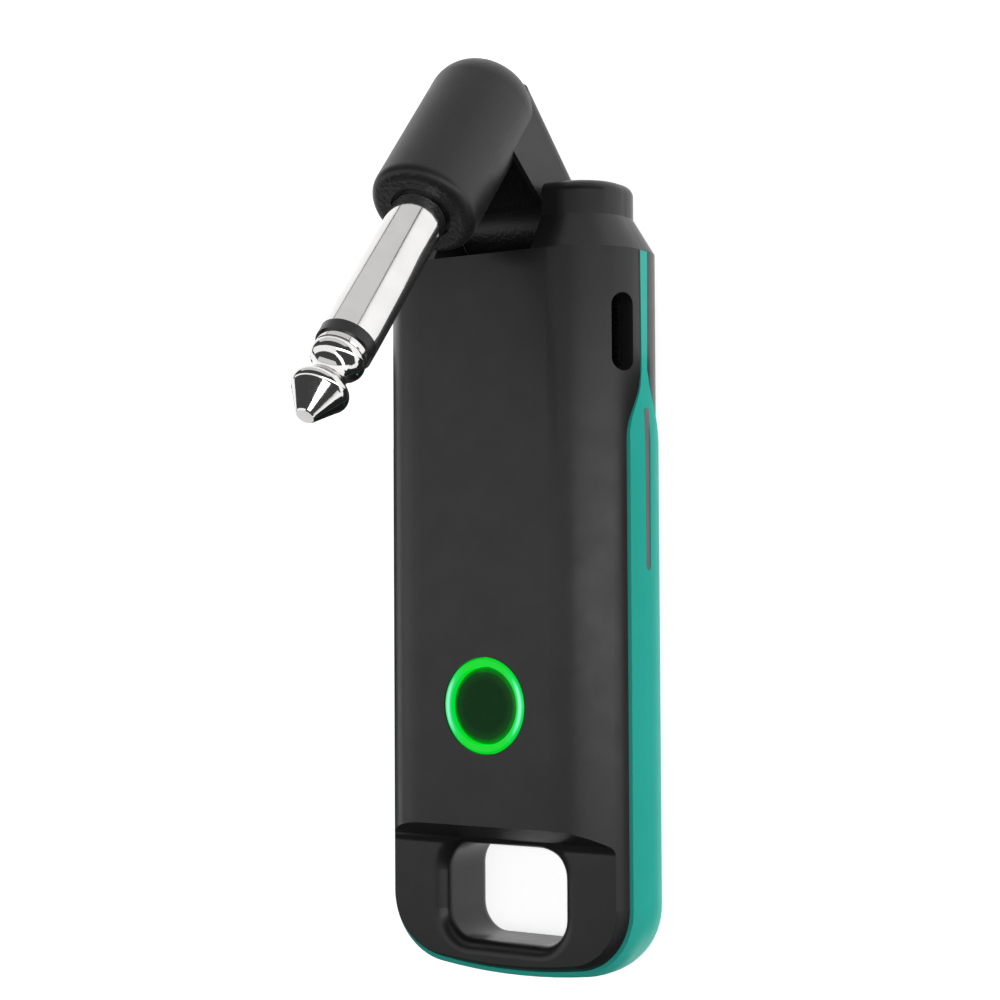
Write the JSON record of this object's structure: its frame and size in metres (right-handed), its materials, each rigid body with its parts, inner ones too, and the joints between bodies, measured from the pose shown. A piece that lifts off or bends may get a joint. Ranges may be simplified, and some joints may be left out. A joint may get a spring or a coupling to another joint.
{
  "type": "wireless guitar transmitter",
  "caption": "Stick-shaped wireless instrument transmitter with a folding right-angle jack plug, lit round button, side light, charging port and strap hole.",
  "frame": {"origin": "middle of the flat back face, halfway along the body", "axes": "+Y from the strap hole to the hinge, +Z out of the front face, +X to the side with the charging port"},
  "size_m": [0.0336, 0.1037, 0.0484],
  "materials": {
    "band_teal": "smooth satin",
    "battery_silver": "pouch foil",
    "board_green": "solder mask",
    "button_dark": "glossy tinted",
    "chip_black": "moulded",
    "cover_black": "fine satin texture",
    "foam_grey": "open foam",
    "head_black": "grained moulded plastic",
    "insulator_black": "smooth",
    "led_clear": "clear",
    "light_grey": "smoked translucent",
    "lug_brass": "tinned",
    "pin_steel": "ground",
    "plug_metal": "polished nickel plating",
    "port_metal": "stamped",
    "ring_green": "lit translucent ring",
    "screw_black": "black zinc",
    "shield_tin": "tinned",
    "switch_white": "moulded",
    "tape_white": "adhesive",
    "washer_white": "nylon"
  },
  "bodies": {
    "body": {"audio_chip": "chip_black", "battery": "battery_silver", "battery_tape": "tape_white", "button_light_ring": "ring_green", "button_switch": "switch_white", "chip_antenna": "switch_white", "circuit_board": "board_green", "cover_screws": "screw_black", "foam_pad": "foam_grey", "front_cover": "cover_black", "hinge_saddle": "head_black", "port_shell": "port_metal", "port_tongue": "chip_black", "power_chip": "chip_black", "radio_shield": "shield_tin", "rear_cover": "cover_black", "ring_lights": "led_clear", "side_frame": "band_teal", "side_light_pipe": "light_grey", "side_lights": "led_clear"},
    "head": {"head_housing": "head_black", "arm_cover": "head_black", "hinge_pin": "pin_steel", "hinge_washers": "washer_white", "plug_collar": "insulator_black", "plug_sleeve": "plug_metal", "plug_insulator": "insulator_black", "plug_tip": "plug_metal", "signal_lug": "lug_brass"},
    "button": {"power_button": "button_dark", "switch_plunger": "switch_white"}
  },
  "joints": [
    {"name": "head_hinge", "type": "hinge", "parent": "body", "child": "head", "pos_m": [0, 0.0412, 0.0082], "axis": [1, 0, 0], "range_deg": [-105, 38.5]},
    {"name": "button_press", "type": "slide", "parent": "body", "child": "button", "axis": [0, 0, -1], "range_m": [0, 0.0004], "stiffness_N_per_m": 2000}
  ]
}
